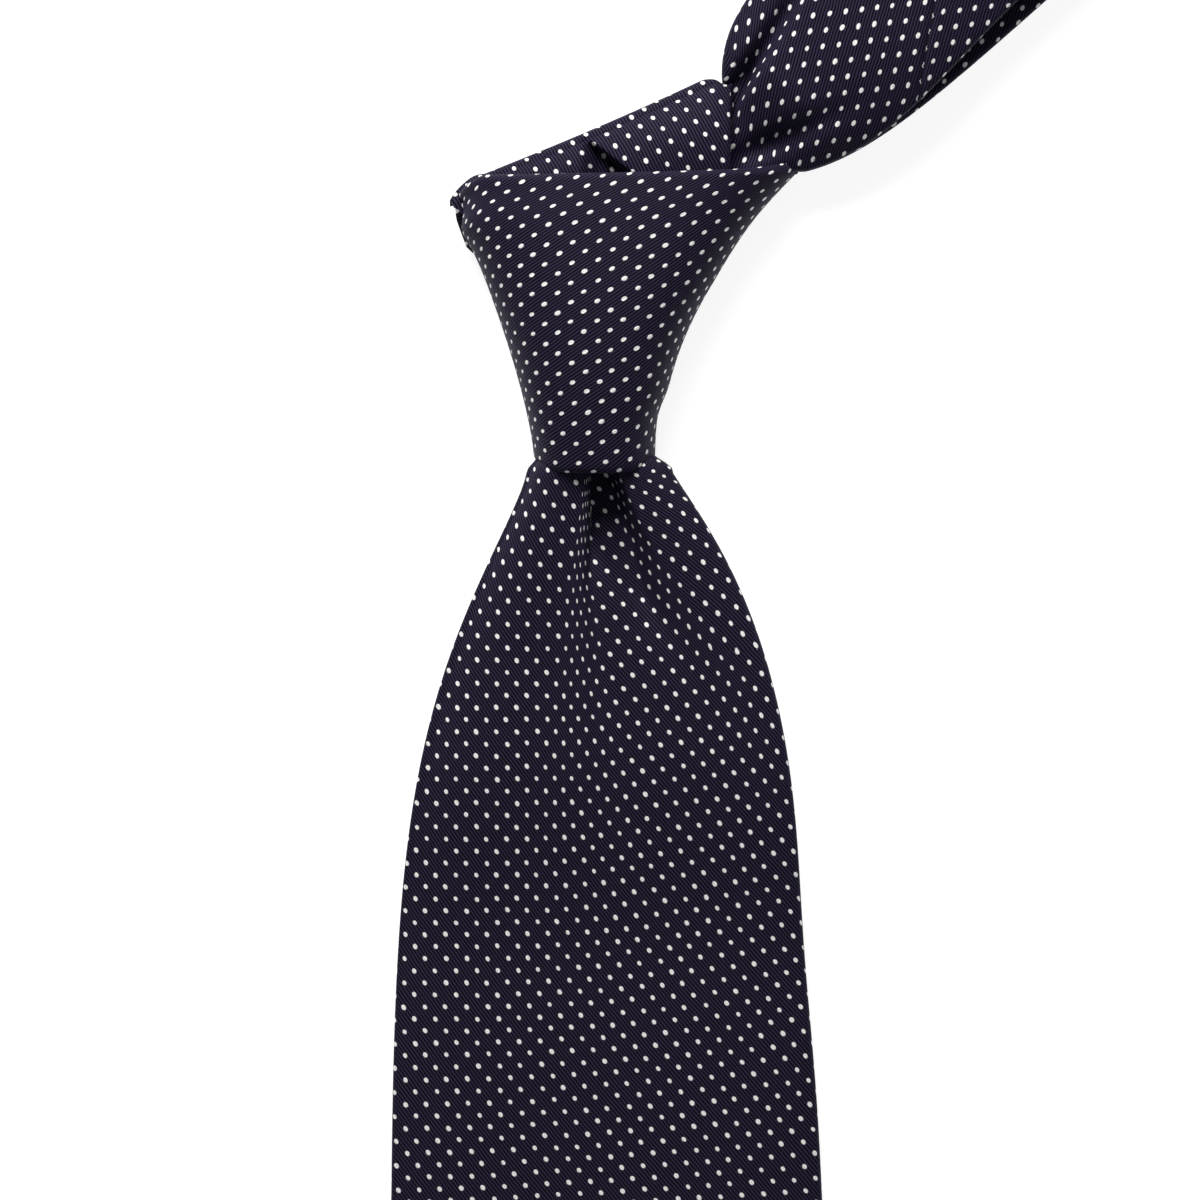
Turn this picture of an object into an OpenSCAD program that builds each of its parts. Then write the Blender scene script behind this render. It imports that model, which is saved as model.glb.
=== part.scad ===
// A knotted silk necktie lying flat: the blade and the tail run down the table (-Y),
// the neck loop runs up and to the right, and the knot's centre is the origin.

/* [Blade] */
// Length of the blade below the knot
blade_len = 450; // [400:5:480]
// Width of the blade at its corners
blade_w = 92; // [84:1:96]
// Thickness of the folded blade
blade_t = 3.4; // [3.2:0.1:4]
// Width of the blade where it leaves the knot
blade_throat_w = 25; // [23:1:27]

/* [Tail] */
// Length of the tail below the knot
tail_len = 380; // [330:5:400]
// Width of the tail at its corners
tail_w = 48; // [40:1:54]
// Thickness of the folded tail
tail_t = 2.6; // [2.4:0.1:2.6]
// Width of the gathered tail inside the knot
core_w = 14; // [12:0.5:14]

/* [Knot] */
// Height of the knot
knot_h = 50; // [48:1:52]
// Thickness of the knot
knot_t = 18.5; // [18.5:0.1:20]
// Half width of the knot's mouth
mouth_half = 10.3; // [10.2:0.1:11]
// Flare of the knot's left side from mouth to top
flare_left = 15; // [13:0.5:16]
// Flare of the knot's right side from mouth to top
flare_right = 23.7; // [21:0.1:25]

/* [Neck loop] */
// Width of the neck band
neck_w = 36; // [32:1:38]
// Thickness of one run of the neck band
neck_t = 2.8; // [2.6:0.1:2.8]
// Reach of the flattened loop from the knot to its bend
neck_reach = 200; // [180:5:220]
// Direction of the neck band, from the X axis
neck_angle = 42; // [38:1:46]
// Gap between the two runs of the band
loop_gap = 6.2; // [6:0.1:6.4]

/* [Cloth] */
// Thickness of a silk wall, with its turned layers
silk_t = 0.6; // [0.5:0.05:0.7]
// Clearance between a wall and what it holds
fit_gap = 0.1; // [0.08:0.01:0.15]
// Pitch of the slip stitches
stitch_pitch = 10; // [8:1:14]

/* [Hidden] */
navy = [0.13, 0.115, 0.19];
wool = [0.85, 0.82, 0.74];
lining = [0.07, 0.06, 0.11];
thread = [0.2, 0.18, 0.3];
knot_y = knot_h / 2;
mouth_x = -1;
// Heights of the layers above the table
back_t = 2.4;
core_z = 2.7;
core_t = 2.8;
blade_z = 4;
blade_lift_z = 6.2;
keeper_z = 3;
wrap_z = 2.6;
pass_z = 12.1;
// Steps down the blade and the tail, close together where they spread
spread = 100;
spread_steps = 12;
ring_points = 24;
arch_points = 16;
edge_power = 0.35;
seam_w = 0.6;
hem = 10;
pocket_side = 1.5;
pad_side = 2.3;
swing_y = knot_y + 8;
neck_start = [27, 35, 0];
lift_s = 55;
lift_gap = 1.5;
upper_z = neck_t + loop_gap;
seam_s = 34;
tail_seam_s = 84;

function sgn_pow(v, p) = sign(v) * pow(abs(v), p);

// One closed ring with full sides and soft edges, at height y
function pad_ring(y, x, half_w, z, half_t) = [
    for (i = [0 : ring_points - 1])
        let (a = 360 * i / ring_points)
        [x + half_w * sgn_pow(cos(a), edge_power), y, z + half_t * sgn_pow(sin(a), 0.8)]
];

// Joins even-sized rings of points, one after another down -Y, into a closed solid
module skin(rings) {
    n = len(rings[0]);
    last = len(rings) - 1;
    points = [for (r = rings) for (p = r) p];
    sides = [
        for (k = [0 : last - 1]) for (i = [0 : n - 1])
            let (j = (i + 1) % n)
            each [[k * n + i, (k + 1) * n + j, k * n + j], [k * n + i, (k + 1) * n + i, (k + 1) * n + j]]
    ];
    first_cap = [for (i = [0 : n / 2 - 2]) [i, i + 1, n - 2 - i, n - 1 - i]];
    last_cap = [for (f = first_cap) [for (i = [3 : -1 : 0]) last * n + f[i]]];
    polyhedron(points, concat(sides, first_cap, last_cap));
}

// ---- knot ----
function rise(y) = (y + knot_y) / knot_h;
function knot_left(y) = mouth_x - mouth_half - flare_left * pow(rise(y), 1.35);
function knot_right(y) = mouth_x + mouth_half + flare_right * pow(rise(y), 1.9);
function knot_top(y) = knot_t - 2.5 * pow((y - 3) / 28, 2);

// Cross-section of the sleeve that the front wrap makes, between two depths under its face
function arch_ring(y, outer, inner) =
    let (
        x = (knot_left(y) + knot_right(y)) / 2,
        half = (knot_right(y) - knot_left(y)) / 2,
        high = knot_top(y) - wrap_z,
        bow = function(cut, i)
            let (a = 180 * i / arch_points)
            [x - (half - cut) * sgn_pow(cos(a), 0.8), y, wrap_z + (high - cut) * pow(sin(a), 0.8)]
    )
    concat([for (i = [0 : arch_points]) bow(outer, i)], [for (i = [arch_points : -1 : 0]) bow(inner, i)]);

module sleeve(outer, inner, y0, y1) {
    steps = 12;
    skin([for (k = [0 : steps]) arch_ring(y1 + (y0 - y1) * k / steps, outer, inner)]);
}

module knot_front_wrap() {
    color(navy) sleeve(0, silk_t, -knot_y, knot_y);
}

module knot_wrap_interlining() {
    color(wool) sleeve(silk_t + fit_gap, 2.1, 1 - knot_y, knot_y - 2);
}

module knot_back_wrap() {
    side = 2.5;
    steps = 8;
    heights = [for (k = [0 : steps]) (knot_h - 4) * k / steps - knot_y + 2];
    left = [for (y = heights) [knot_left(y) + side, y]];
    right = [for (k = [steps : -1 : 0]) [knot_right(heights[k]) - side, heights[k]]];
    color(navy) linear_extrude(back_t) polygon(concat(left, right));
}

// First crossing of the blade behind the knot's face, which fills the knot out
module knot_core_pass() {
    color(navy)
        translate([0, 0, core_z + core_t + 0.4])
            linear_extrude(3)
                polygon([[-7, 3 - knot_y], [5, 3 - knot_y], [16, 16], [-16, 16]]);
}

// Last pass: comes over the top of the knot and goes down inside the front wrap
module knot_over_pass() {
    color(navy) union() {
        translate([0, 0, pass_z])
            linear_extrude(3.2)
                polygon([[-22, 25.6], [-9.4, 29.5], [8.3, 37], [20.7, 43.6], [20.7, 25.6]]);
        translate([0, 0, 9.3])
            linear_extrude(pass_z - 9.3 + 1)
                polygon([[-12, 17], [9.5, 17], [9.5, 28], [-9, 28]]);
        translate([0, 0, 9.3])
            linear_extrude(2.7)
                polygon([[-5, 3 - knot_y], [3, 3 - knot_y], [13, 17.5], [-13, 17.5]]);
    }
}

// Gathered end of the band's upper run, gripped by the knot
module knot_neck_gather() {
    color(navy)
        translate([0, 0, core_z + core_t + 0.4])
            linear_extrude(2.7)
                polygon([[18, 18], [22, 19.5], [25, 25.6], [38, 29], [38, 36], [30, 40], [21, 40], [16.5, 26]]);
}

// ---- blade ----
blade_top = -knot_y - 1.2;
blade_corner = blade_len - blade_w / 2;
function blade_half(d) =
    let (straight = blade_w - (blade_corner - d) * 0.062, full = blade_w - blade_corner * 0.062)
    (straight - (full - blade_throat_w) * exp(-pow(max(0, d) / 31, 1.15))) / 2;
function settle(d, a, b) = let (t = min(1, max(0, (d - a) / (b - a)))) t * t * (3 - 2 * t);
function blade_under(d) = blade_lift_z - (blade_lift_z - blade_z) * settle(d, 45, 85);
function blade_thick(d) = blade_t + 4.2 * exp(-d / 22);
function spread_step(k) = spread * pow(k / spread_steps, 1.4);

function blade_ring(d, side, wall) =
    let (half = d > blade_corner ? blade_w / 2 - (d - blade_corner) : blade_half(d), t = blade_thick(d))
    pad_ring(blade_top - d, 0, max(0.5, half - side), blade_under(d) + t / 2, t / 2 - wall);

module blade_skin(side, wall, first, last) {
    downs = concat(
        [for (k = [0 : spread_steps]) max(first, spread_step(k) + (k == 0 ? first : 0))],
        [200, 300, blade_corner],
        [last]
    );
    skin([for (d = downs) blade_ring(d, side, wall)]);
}

// Diamond of lining seen between the hems and the two back flaps
module tip_diamond(x, corner_y, half_w, inset) {
    reach = half_w - hem;
    polygon([
        [x, corner_y - half_w + hem * 1.4 + inset], [x + reach - inset, corner_y],
        [x, corner_y + reach * 1.6 - inset], [x - reach + inset, corner_y]
    ]);
}

module blade_shell() {
    color(navy) difference() {
        blade_skin(0, 0, 0, blade_len - 0.5);
        blade_skin(pocket_side, silk_t, -1, blade_len - 12);
        translate([0, 0, blade_z - 1])
            linear_extrude(1 + silk_t + 0.2)
                tip_diamond(0, blade_top - blade_corner, blade_w / 2, 0);
        translate([-seam_w / 2, blade_top - blade_corner, blade_z - 1])
            cube([seam_w, blade_corner - spread - 5, 1 + silk_t + 0.2]);
    }
}

module blade_interlining() {
    color(wool) blade_skin(pad_side, silk_t + 0.5, 1, blade_len - 16);
}

module blade_tipping() {
    color(lining)
        translate([0, 0, blade_z + 0.1])
            linear_extrude(0.4)
                tip_diamond(0, blade_top - blade_corner, blade_w / 2, 0.4);
}

module stitch_row(y0, y1) {
    for (y = [y0 : stitch_pitch : y1 - stitch_pitch])
        translate([-seam_w / 2 + fit_gap, y, 0])
            cube([seam_w - 2 * fit_gap, stitch_pitch * 0.6, 0.35]);
}

blade_apex = blade_top - blade_corner + (blade_w / 2 - hem) * 1.6;

module blade_slip_stitch() {
    color(thread) translate([0, 0, blade_z + 0.1]) stitch_row(blade_apex + 4, blade_top - spread - 6);
}

module bar_tack(y, z) {
    translate([0, y, z]) cube([7, 1.4, 0.35], center = true);
}

module blade_bar_tack() {
    color(thread) bar_tack(blade_apex + 2, blade_z - 0.25);
}

// Band across the blade's back that the tail can be tucked behind
module keeper_loop() {
    band_w = 46;
    band_h = 14;
    y = blade_top - 205;
    color(navy) union() {
        translate([-band_w / 2, y, keeper_z]) cube([band_w, band_h, 0.5]);
        for (side = [-1, 1])
            translate([side * (band_w / 2 - 1) - 1, y, keeper_z]) cube([2, band_h, 0.9]);
    }
}

// Blank woven label on the blade's back
module care_label() {
    color("ghostwhite") translate([-14, blade_top - 255, blade_z - 0.5]) cube([28, 22, 0.4]);
}

// ---- tail ----
tail_top = -swing_y - 2;
tail_run = tail_len - swing_y + knot_y - 2;
tail_corner = tail_run - tail_w / 2;
function tail_half(d) =
    let (straight = tail_w - (tail_corner - d) * 0.03, full = tail_w - tail_corner * 0.03)
    (straight - (full - core_w) * exp(-pow(max(0, d) / 30, 1.15))) / 2;
function tail_ring(d, side, wall) =
    let (half = d > tail_corner ? tail_w / 2 - (d - tail_corner) : tail_half(d))
    pad_ring(tail_top - d, mouth_x, max(0.4, half - side),
        core_z * (1 - settle(d, 0, 20)) + tail_t / 2, tail_t / 2 - wall);

module tail_skin(side, wall, first, last) {
    downs = concat(
        [for (k = [0 : spread_steps]) max(first, spread_step(k) + (k == 0 ? first : 0))],
        [200, tail_corner],
        [last]
    );
    skin([for (d = downs) tail_ring(d, side, wall)]);
}

// Gathered stretch of the tail that slides through the knot
module tail_core() {
    color(navy)
        translate([mouth_x - core_w / 2, -swing_y + 2, core_z])
            cube([core_w, swing_y + knot_y - 5, core_t]);
}

module tail_shell() {
    color(navy) difference() {
        tail_skin(0, 0, 0, tail_run - 0.5);
        tail_skin(pocket_side, silk_t, -1, tail_run - 12);
        translate([0, 0, -1])
            linear_extrude(1 + silk_t + 0.2)
                tip_diamond(mouth_x, tail_top - tail_corner, tail_w / 2, 0);
        translate([mouth_x - seam_w / 2, tail_top - tail_corner, -1])
            cube([seam_w, tail_corner - spread - 5, 1 + silk_t + 0.2]);
    }
}

module tail_interlining() {
    color(wool) tail_skin(pad_side, silk_t + 0.3, 1, tail_run - 16);
}

module tail_tipping() {
    color(lining)
        translate([0, 0, 0.1])
            linear_extrude(0.4)
                tip_diamond(mouth_x, tail_top - tail_corner, tail_w / 2, 0.4);
}

tail_apex = tail_top - tail_corner + (tail_w / 2 - hem) * 1.6;

module tail_slip_stitch() {
    color(thread) translate([mouth_x, 0, 0.1]) stitch_row(tail_apex + 6, tail_top - spread - 6);
}

// Set into the closed seam just above the lining
module tail_bar_tack() {
    color(thread) translate([mouth_x, tail_apex + 2.5, 0.3]) cube([seam_w - 0.2, 4, 0.4], center = true);
}

// ---- neck loop ----
module on_band(s, z) {
    translate(neck_start) rotate([0, 0, neck_angle]) translate([s, 0, z]) children();
}

// Point in plan at s along the band and side out from its middle
function band_point(s, side) = [
    neck_start[0] + s * cos(neck_angle) - side * sin(neck_angle),
    neck_start[1] + s * sin(neck_angle) + side * cos(neck_angle)
];

// A flat run of the band from s0 to s1; its back seam is on the underside, or on top if flipped
module band_run(s0, s1, z, flipped) {
    seam_z = flipped ? neck_t - silk_t - 0.2 : -1;
    on_band(s0, z) difference() {
        translate([0, -neck_w / 2, 0]) cube([s1 - s0, neck_w, neck_t]);
        translate([-1, -neck_w / 2 + pocket_side, silk_t])
            cube([s1 - s0 + 2, neck_w - 2 * pocket_side, neck_t - 2 * silk_t]);
        translate([-1, -seam_w / 2, seam_z]) cube([s1 - s0 + 2, seam_w, 1.2 + silk_t]);
    }
}

bend_s = neck_reach - neck_t - loop_gap / 2;

// First stretch of the band, cut back so that it clears the knot when the loop is drawn in
module band_throat(z) {
    left = [for (s = [lift_s - lift_gap, 18]) band_point(s, neck_w / 2)];
    right = [for (s = [7.5, lift_s - lift_gap]) band_point(s, -neck_w / 2)];
    cut = right[0][0];
    translate([0, 0, z])
        linear_extrude(neck_t)
            polygon(concat([[21.5, 46], [21.5, 36], [cut, 36]], right, left));
}

module neck_throat_upper() {
    color(navy) band_throat(upper_z);
}

module neck_throat_lower() {
    color(navy) band_throat(0);
}

module neck_upper_run() {
    color(navy) band_run(lift_s + lift_gap, bend_s, upper_z, false);
}

module neck_lower_run() {
    color(navy) band_run(lift_s + lift_gap, bend_s, 0, true);
}

// Soft bend at the back of the neck, joining the two runs
module neck_bend() {
    outer = neck_t + loop_gap / 2;
    color(navy)
        on_band(bend_s, outer)
            rotate([90, 0, 0])
                linear_extrude(neck_w, center = true)
                    difference() {
                        circle(outer, $fn = 48);
                        circle(loop_gap / 2, $fn = 48);
                        translate([0.05 - 2 * outer, -outer - 1]) square([2 * outer, 2 * outer + 2]);
                    }
}

module neck_interlining() {
    wool_w = neck_w - 2 * pocket_side - 2 * fit_gap;
    wool_t = neck_t - 2 * silk_t - 2 * fit_gap;
    color(wool)
        for (z = [0, upper_z])
            on_band(lift_s + 4, z + silk_t + fit_gap)
                translate([0, -wool_w / 2, 0]) cube([bend_s - lift_s - 5, wool_w, wool_t]);
}

module neck_slip_stitch() {
    color(thread)
        for (z = [neck_t - 0.45, upper_z + 0.1])
            for (s = [lift_s + 6 : stitch_pitch : bend_s - stitch_pitch])
                on_band(s, z)
                    translate([0, -seam_w / 2 + fit_gap, 0])
                        cube([stitch_pitch * 0.6, seam_w - 2 * fit_gap, 0.35]);
}

// Slanting ridge where two panels of the band are joined on the bias
module join_seam(s, z) {
    on_band(s, z) rotate([0, 0, -neck_angle + 12])
        translate([-0.4, -6, 0]) cube([0.8, 12, 0.3]);
}

module blade_join_seam() {
    color(thread) join_seam(seam_s, upper_z + neck_t);
}

module tail_join_seam() {
    color(thread) join_seam(tail_seam_s, neck_t);
}

knot_front_wrap();
knot_wrap_interlining();
knot_back_wrap();
knot_core_pass();
knot_over_pass();
knot_neck_gather();
blade_shell();
blade_interlining();
blade_tipping();
blade_slip_stitch();
blade_bar_tack();
keeper_loop();
care_label();
tail_core();
tail_shell();
tail_interlining();
tail_tipping();
tail_slip_stitch();
tail_bar_tack();
neck_throat_upper();
neck_throat_lower();
neck_upper_run();
neck_lower_run();
neck_bend();
neck_interlining();
neck_slip_stitch();
blade_join_seam();
tail_join_seam();
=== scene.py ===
"""A knotted silk necktie lying flat: folded and sewn silk over wool pads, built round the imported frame.

Lengths are millimetres until a mesh is made. The knot's centre is the origin, +Y runs to the neck.
"""

import math

import bpy
import numpy as np
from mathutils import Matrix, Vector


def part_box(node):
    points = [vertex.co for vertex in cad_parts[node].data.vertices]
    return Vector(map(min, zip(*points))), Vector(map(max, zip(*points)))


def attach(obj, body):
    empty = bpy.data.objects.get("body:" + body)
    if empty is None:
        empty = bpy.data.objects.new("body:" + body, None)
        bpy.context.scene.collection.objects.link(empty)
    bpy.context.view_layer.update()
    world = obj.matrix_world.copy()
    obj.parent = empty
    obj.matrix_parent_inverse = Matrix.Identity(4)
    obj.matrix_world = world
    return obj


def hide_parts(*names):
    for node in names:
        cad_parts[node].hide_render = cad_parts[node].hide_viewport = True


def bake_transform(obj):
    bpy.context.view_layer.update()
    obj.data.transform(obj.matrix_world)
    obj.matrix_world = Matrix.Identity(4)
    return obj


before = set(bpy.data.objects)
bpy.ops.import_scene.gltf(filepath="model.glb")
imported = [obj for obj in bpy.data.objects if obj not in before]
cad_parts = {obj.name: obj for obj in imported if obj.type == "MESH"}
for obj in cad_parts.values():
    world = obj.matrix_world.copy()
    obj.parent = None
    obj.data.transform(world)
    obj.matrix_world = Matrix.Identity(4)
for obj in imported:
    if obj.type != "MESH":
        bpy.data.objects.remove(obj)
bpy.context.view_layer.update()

MM = 0.001


def node_box(name):
    """Lowest and highest corners of a CAD node, in millimetres."""
    low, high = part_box(name)
    return np.array(low) / MM, np.array(high) / MM


# ---- what the frame fixes ----
_, knot_high = node_box("knot_front_wrap")
blade_low, _ = node_box("blade_shell")
tail_low, tail_high = node_box("tail_shell")
core_low, _ = node_box("tail_core")
upper_low, _ = node_box("neck_upper_run")
keeper_low, keeper_high = node_box("keeper_loop")
label_low, label_high = node_box("care_label")
KNOT_Y = knot_high[1]
KNOT_TOP = knot_high[2]
BLADE_UNDER = blade_low[2]
BLADE_TOP = -KNOT_Y - 0.3
BLADE_RUN = BLADE_TOP - blade_low[1]
TAIL_X = (tail_low[0] + tail_high[0]) / 2
NECK_T = 2.8
NECK_UPPER = upper_low[2]
NECK_ANGLE = math.radians(42)
NECK_START = np.array([27.0, 35.0])
NECK_BEND = 194.1
NECK_HALF = 18.0
BAND_JOIN = 36.0

SILK_WALL = 0.35
CRISP_EDGE = 50


def ease(t, a, b):
    """0 before a, 1 after b, smooth between."""
    s = np.clip((t - a) / (b - a), 0, 1)
    return s * s * (3 - 2 * s)


def bell(x, width):
    return np.exp(-((x / width) ** 2))


def signed_power(v, p):
    return np.sign(v) * np.abs(v) ** p


# ---- meshes ----
def grid_object(name, points, cloth=None, ring=False):
    """A mesh through rows of points; ring joins each row to itself and caps the ends."""
    rows, cols = points.shape[:2]
    index = np.arange(rows * cols).reshape(rows, cols)
    if ring:
        index = np.hstack([index, index[:, :1]])
    quads = np.stack([index[:-1, :-1], index[:-1, 1:], index[1:, 1:], index[1:, :-1]], -1).reshape(-1, 4)
    if ring:
        half = cols // 2
        for row, backwards in ((0, True), (rows - 1, False)):
            k = np.arange(half - 1)
            cap = row * cols + np.stack([k, k + 1, cols - 2 - k, cols - 1 - k], -1)
            quads = np.vstack([quads, cap[:, ::-1] if backwards else cap])
    flat = points.reshape(-1, 3)
    middle = flat.mean(0)
    corners = flat[quads] - middle
    volume = np.einsum("ij,ij->i", corners[:, 0], np.cross(corners[:, 1], corners[:, 2])).sum()
    volume += np.einsum("ij,ij->i", corners[:, 0], np.cross(corners[:, 2], corners[:, 3])).sum()
    if volume < 0:
        quads = quads[:, ::-1]
    mesh = bpy.data.meshes.new(name)
    mesh.from_pydata((flat * MM).tolist(), [], quads.tolist())
    if cloth is not None:
        layer = mesh.uv_layers.new(name="cloth")
        corner = np.zeros(len(mesh.loops), np.int32)
        mesh.loops.foreach_get("vertex_index", corner)
        layer.data.foreach_set("uv", cloth.reshape(-1, 2)[corner].astype(np.float32).ravel())
    mesh.polygons.foreach_set("use_smooth", [True] * len(mesh.polygons))
    mesh.update()
    made = bpy.data.objects.new(name, mesh)
    bpy.context.scene.collection.objects.link(made)
    return made


def keep_result(made):
    """Turns what the modifiers make into the object's own mesh."""
    bpy.context.view_layer.update()
    graph = bpy.context.evaluated_depsgraph_get()
    mesh = bpy.data.meshes.new_from_object(made.evaluated_get(graph))
    made.modifiers.clear()
    made.data = mesh
    return made


def thicken(made, wall):
    """Gives a bare skin a real thickness, laid inwards."""
    thick = made.modifiers.new("wall", "SOLIDIFY")
    thick.thickness = wall * MM
    thick.offset = -1
    return keep_result(made)


def cloth_object(name, points, cloth, finish):
    """Silk laid through the points, with crisp cut edges."""
    made = grid_object(name, points, cloth)
    made.data.materials.append(finish)
    thicken(made, SILK_WALL)
    made.data.set_sharp_from_angle(angle=math.radians(CRISP_EDGE))
    return made


def facing_down(name, points, cloth, finish, wall):
    """A small sheet on the tie's back, its right side towards the table."""
    made = grid_object(name, points, cloth)
    if made.data.polygons[0].normal.z > 0:
        made.data.flip_normals()
    made.data.materials.append(finish)
    return thicken(made, wall)


def pad_object(name, points, finish, cloth=None):
    made = grid_object(name, points, cloth, ring=True)
    made.data.materials.append(finish)
    return made


def turned(u, v, degrees):
    """Pattern coordinates after the cloth is turned anticlockwise."""
    a = math.radians(degrees)
    return np.stack([u * math.cos(a) + v * math.sin(a), v * math.cos(a) - u * math.sin(a)], -1)


def run_length(points, axis):
    """Distance walked along the points, from the first."""
    steps = np.linalg.norm(np.diff(points, axis=axis), axis=-1)
    start = np.zeros_like(np.take(steps, [0], axis=axis))
    return np.concatenate([start, np.cumsum(steps, axis=axis)], axis=axis)


# ---- folded bands: blade, tail and neck ----
def spread_columns(count):
    even = np.linspace(-1, 1, count)
    return 0.6 * even + 0.4 * np.sin(even * math.pi / 2)


FLAP_COLUMNS = 12
ROLL_STEPS = 7
BLADE_COLUMNS = 96
TAIL_COLUMNS = 44
NECK_COLUMNS = 84
CLOSED = 0.15
PAD_INSET = 2.4
TURNED_IN = ((3.0, 0.95), (0.7, 0.9), (0.1, 0.5))


def folded_section(first, last, face, back, opening, columns, seam=0.0):
    """Sideways and height values of cloth folded round a pad: flap, rolled edge, face, edge and flap."""
    first, last = first[:, None], last[:, None]
    opening = opening[:, None]
    width = last - first
    roll_a = np.minimum((face(first) - back(first)) / 2, 0.42 * width)
    roll_b = np.minimum((face(last) - back(last)) / 2, 0.42 * width)
    a, b = first + roll_a, last - roll_b
    inner_a = np.maximum(np.minimum(seam - opening, b), a)
    inner_b = np.minimum(np.maximum(seam + opening, a), b)
    sides, heights = [], []
    for inward, up in TURNED_IN:
        q = np.maximum(inner_a - inward, a)
        sides.append(q)
        heights.append(back(q) + up)
    q = inner_a + (a - inner_a) * np.linspace(0, 1, FLAP_COLUMNS)[:-1]
    sides.append(q)
    heights.append(back(q))
    turn = np.radians(np.linspace(-90, 90, ROLL_STEPS))[:-1]
    sides.append(a - roll_a * np.cos(turn))
    heights.append((face(a) + back(a)) / 2 + (face(a) - back(a)) / 2 * np.sin(turn))
    q = a + (b - a) * (spread_columns(columns) + 1) / 2
    sides.append(q)
    heights.append(face(q))
    turn = -turn
    sides.append(b + roll_b * np.cos(turn[1:]))
    heights.append((face(b) + back(b)) / 2 + (face(b) - back(b)) / 2 * np.sin(turn[1:]))
    q = b + (inner_b - b) * np.linspace(0, 1, FLAP_COLUMNS)
    sides.append(q)
    heights.append(back(q))
    for inward, up in TURNED_IN[::-1]:
        q = np.minimum(inner_b + inward, b)
        sides.append(q)
        heights.append(back(q) + up)
    face_start = len(TURNED_IN) + FLAP_COLUMNS - 1 + ROLL_STEPS - 1
    return np.hstack(sides), np.hstack(heights), slice(face_start, face_start + columns)


def level(height):
    """The same height everywhere."""
    return lambda x: height + 0 * x


def pad_section(first, last, face, back, columns=22):
    """Sideways and height values round a soft pad, for a ring."""
    first, last = first[:, None], last[:, None]
    q = first + (last - first) * (spread_columns(columns) + 1) / 2
    fullness = 1 - np.abs(spread_columns(columns)) ** 8 * 0.85
    high, low = face(q), back(q)
    low = np.minimum(low, high - 0.2)
    middle = (high + low) / 2
    high, low = middle + (high - middle) * fullness, middle + (low - middle) * fullness
    return np.hstack([q, q[:, ::-1]]), np.hstack([high, low[:, ::-1]])


def place(origin, side, normal, q, h):
    """Points in space from each row's own origin and directions."""
    return origin[:, None] + q[..., None] * side[:, None] + h[..., None] * normal[:, None]


def along_y(y, x=0.0):
    rows = len(y)
    origin = np.stack([np.full(rows, float(x)), y, np.zeros(rows)], -1)
    return origin, np.tile([1.0, 0, 0], (rows, 1)), np.tile([0, 0, 1.0], (rows, 1))


def diamond_opening(y, apex, corner, bottom, reach):
    """Half width of the gap between the back flaps, where the lining shows."""
    above = np.clip((apex - y) / (apex - corner), 0, 1)
    below = np.clip((y - bottom) / (corner - bottom), 0, 1)
    return np.maximum(CLOSED, reach * np.where(y > corner, above, below) * (y < apex))


# ---- blade ----
BLADE_CORNER = BLADE_RUN - 46.4
BLADE_FLARE_END = 123
BLADE_OPEN_REACH = 36.0
BLADE_OPEN_UP = 57.6
BLADE_OPEN_DOWN = 32


def blade_sides(d):
    down = np.maximum(d, 0)
    lower = np.maximum(d - BLADE_FLARE_END, 0)
    left = -35.6 + 23.1 * np.exp(-((down / 36) ** 1.3)) - 0.033 * lower
    right = 33.4 + 0.036 * np.minimum(down, BLADE_FLARE_END) + 0.032 * lower
    right = right - 21 * np.exp(-((down / 27) ** 1.1)) - 0.9 * bell(down - 80, 22)
    left = left + 1.9 * ease(-d, 0, 3)
    right = right - 4 * ease(-d, 0.3, 4)
    middle = (left + right) / 2
    left_over = 1 - 0.99 * np.clip((d - BLADE_CORNER) / (BLADE_RUN - BLADE_CORNER), 0, 1)
    return middle + (left - middle) * left_over, middle + (right - middle) * left_over


def blade_droop(x, d):
    """The edges sink beside the tail, and the tip sinks below the tail's end."""
    past_tail = ease(d, 380, 415)
    return 1.2 * ease(np.abs(x), 25, 42) * ease(d, 85, 150) * (1 - past_tail) + 3.3 * past_tail


def blade_back(x, d):
    return BLADE_UNDER + 2.2 * (1 - ease(d, 45, 85)) - blade_droop(x, d)


def dimple_lines(d):
    """How far right the dimple's left wall and its valley lie."""
    wall = -1.8 - 1.1 * ease(d, 0, 19) + 0.2 * ease(d, 19, 28)
    valley = 1.7 + 0.13 * d + 0.0085 * np.minimum(d, 30) ** 2 + 0.35 * np.maximum(d - 30, 0)
    return wall, valley


def cloth_taken(x, d):
    """Sideways shift of the pattern: the cloth that the dimple's wall and valley take up."""
    d = np.maximum(d, 0)
    wall, valley = dimple_lines(d)
    left, middle, right = 6.8 * np.exp(-d / 42), 6.5 * np.exp(-d / 26), 14 * np.exp(-d / 28)
    reach = 0.7 + 0.03 * d + 0.0028 * d ** 2
    shift = -left + (left + middle) * ease(x, wall - 0.4 - reach, wall - 0.4 + reach)
    return shift + (right - middle) * ease(x, valley - 0.5, valley + 1.6 + 0.26 * d)


def dimple(x, d):
    """Depth of the hollow pressed in under the knot, between its steep wall and its slanting valley."""
    d = np.maximum(d, 0)
    wall, valley = dimple_lines(d)
    hollow = 5.4 * np.exp(-((d / 12) ** 2.8)) + 2.6 * np.exp(-d / 22)
    inside = ease(x, wall, wall + 0.5 + 0.04 * d) * (1 - ease(x, valley, valley + 1.6 + 0.26 * d))
    trough = 5.5 * bell(d - 12, 11) * bell(x - valley + 1.3, 1.9 + 0.03 * d)
    return hollow * inside + trough


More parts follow.
